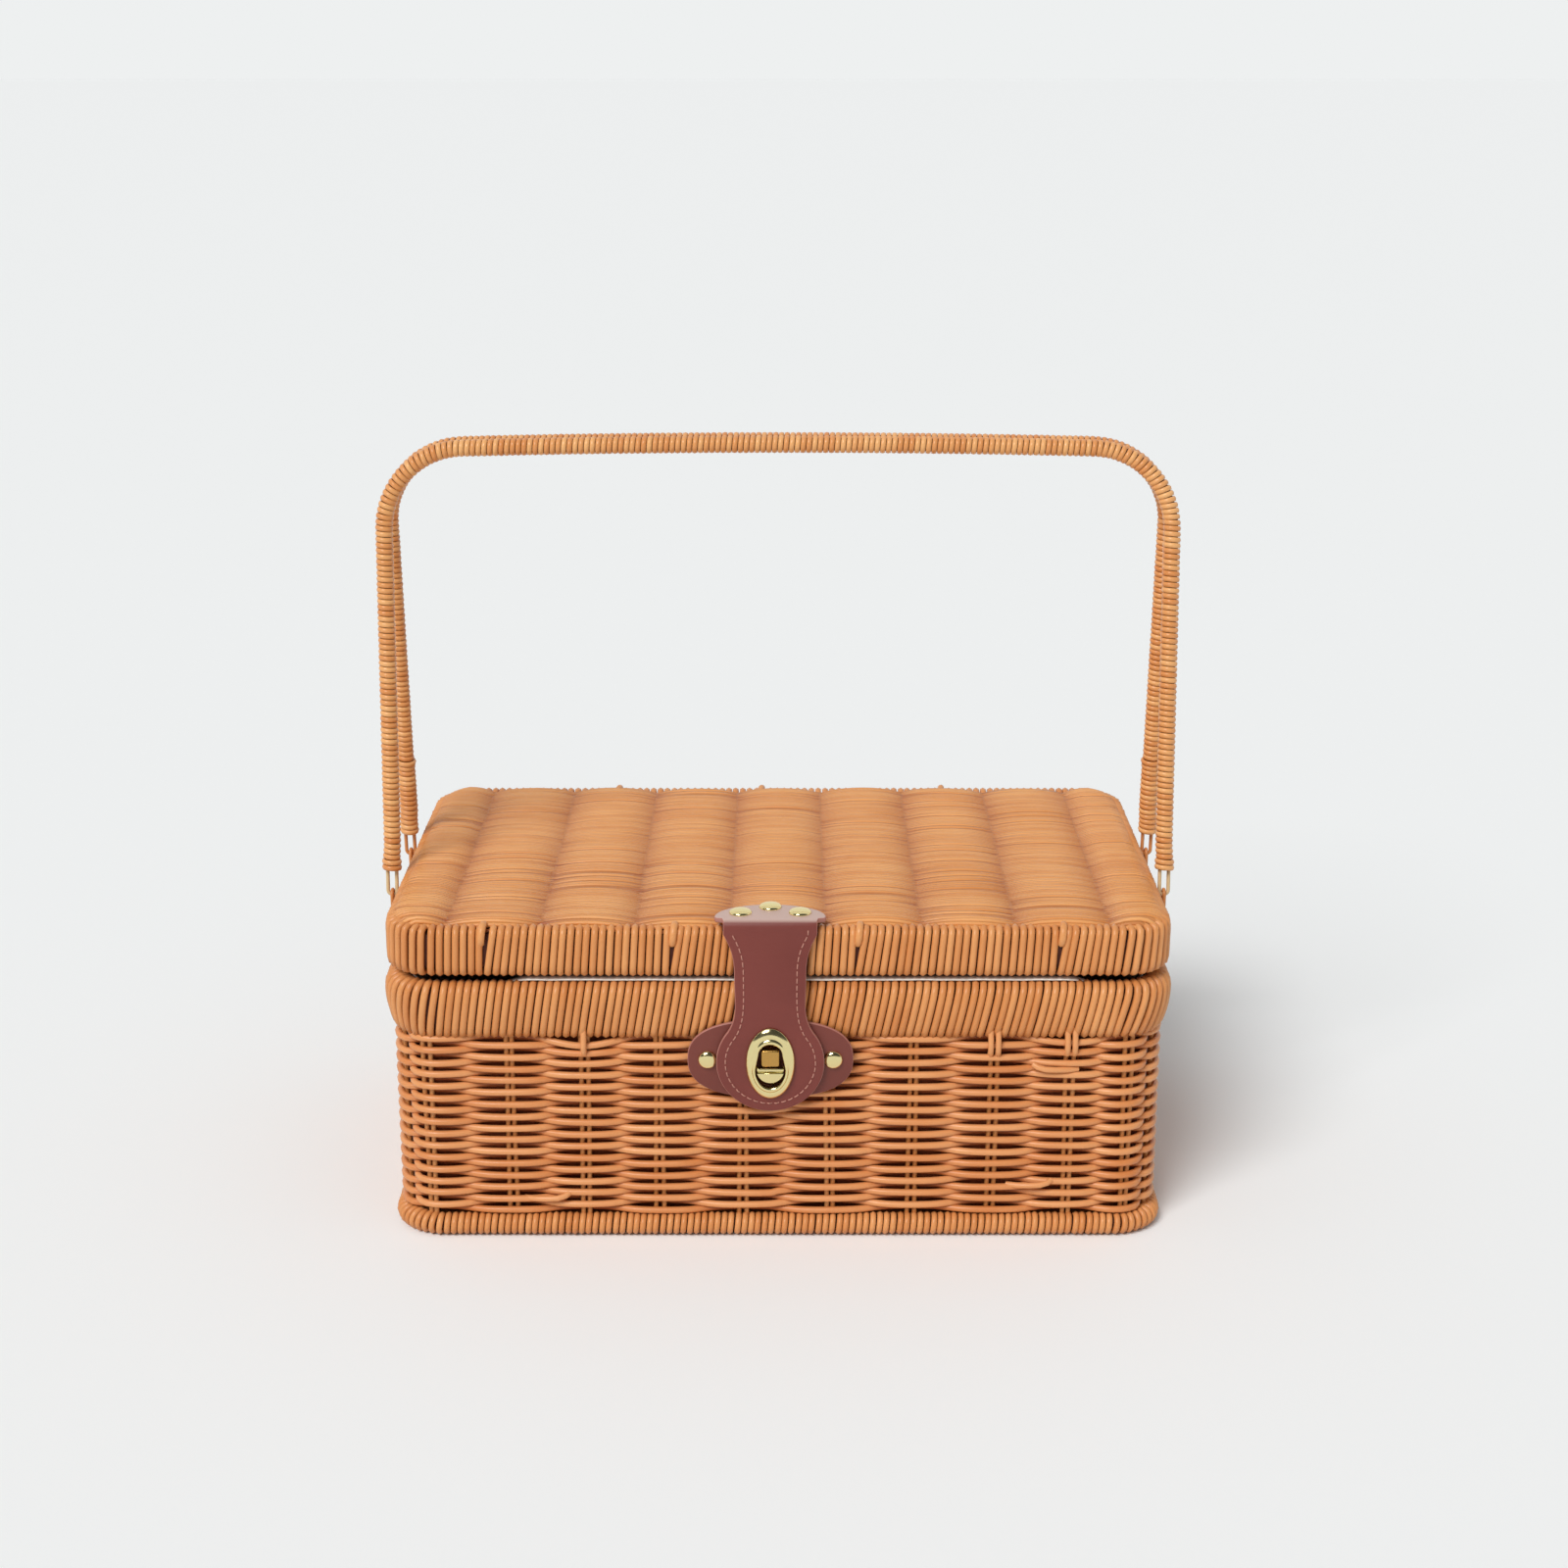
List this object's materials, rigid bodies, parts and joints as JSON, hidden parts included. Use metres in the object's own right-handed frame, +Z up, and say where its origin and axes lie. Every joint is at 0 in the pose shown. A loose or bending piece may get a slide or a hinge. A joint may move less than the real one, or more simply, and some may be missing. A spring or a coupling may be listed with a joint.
{
  "type": "lidded_rattan_basket",
  "caption": "Lidded plastic rattan storage basket with folding bail handles, a back-hinged lid and a leather strap that locks on a brass press catch.",
  "frame": {"origin": "Middle of the rectangle that holds the basket in plan, on the surface it stands on.", "axes": "+Z is up. +X runs along the long side, to the right as seen from the front. The strap is on the front, at -Y, and the lid hinge is on the back, at +Y."},
  "size_m": [0.4216, 0.2691, 0.3987],
  "materials": {
    "cane_weave": "round plastic rattan strand, satin",
    "cane_wrap": "wrapped plastic rattan strand, satin",
    "cane_handle": "tight plastic rattan wrapping, satin",
    "leather": "smooth burgundy brown with a stitched edge",
    "brass": "polished pale brass",
    "cotton": "plain cream cotton"
  },
  "bodies": {
    "base": {"foot_roll": "cane_wrap", "floor_panel": "cane_weave", "basket_wall": "cane_weave", "rim_band": "cane_wrap", "cotton_liner": "cotton", "front_handle_eye_left": "cane_wrap", "front_handle_eye_right": "cane_wrap", "rear_handle_eye_left": "cane_wrap", "rear_handle_eye_right": "cane_wrap", "hinge_loop_left": "cane_wrap", "hinge_loop_right": "cane_wrap", "leather_patch": "leather", "patch_rivet_left": "brass", "patch_rivet_right": "brass", "latch_post": "brass"},
    "lid": {"lid_band": "cane_wrap", "lid_panel": "cane_weave", "lid_rib_1": "cane_weave", "lid_rib_2": "cane_weave", "lid_rib_3": "cane_weave", "lid_rib_4": "cane_weave", "lid_rib_5": "cane_weave", "lid_rib_6": "cane_weave", "lid_rib_7": "cane_weave", "lid_rib_8": "cane_weave", "lid_rib_9": "cane_weave", "strap_root": "leather", "strap_rivet_left": "brass", "strap_rivet_middle": "brass", "strap_rivet_right": "brass"},
    "strap": {"strap_flap": "leather", "latch_plate": "brass", "latch_back_plate": "brass"},
    "catch": {"thumb_catch": "brass"},
    "front_handle": {"front_handle_bow": "cane_handle", "front_handle_link_left": "cane_wrap", "front_handle_link_right": "cane_wrap"},
    "rear_handle": {"rear_handle_bow": "cane_handle", "rear_handle_link_left": "cane_wrap", "rear_handle_link_right": "cane_wrap"}
  },
  "joints": [
    {"name": "lid_hinge", "type": "hinge", "parent": "base", "child": "lid", "pos_m": [0, 0.124, 0.1419], "axis": [-1, 0, 0], "range_deg": [0, 160]},
    {"name": "strap_flex", "type": "hinge", "parent": "lid", "child": "strap", "pos_m": [0, -0.1265, 0.1682], "axis": [-1, 0, 0], "range_deg": [0, 90]},
    {"name": "catch_slide", "type": "slide", "parent": "strap", "child": "catch", "axis": [0, 0.0782, -0.9969], "range_m": [0, 0.0024], "stiffness_N_per_m": 400, "springref_m": -0.002},
    {"name": "front_handle_hinge", "type": "hinge", "parent": "base", "child": "front_handle", "pos_m": [0, -0.0347, 0.1574], "axis": [1, 0, 0], "range_deg": [0, 100]},
    {"name": "rear_handle_hinge", "type": "hinge", "parent": "base", "child": "rear_handle", "pos_m": [0, 0.0347, 0.1574], "axis": [-1, 0, 0], "range_deg": [0, 100]}
  ]
}
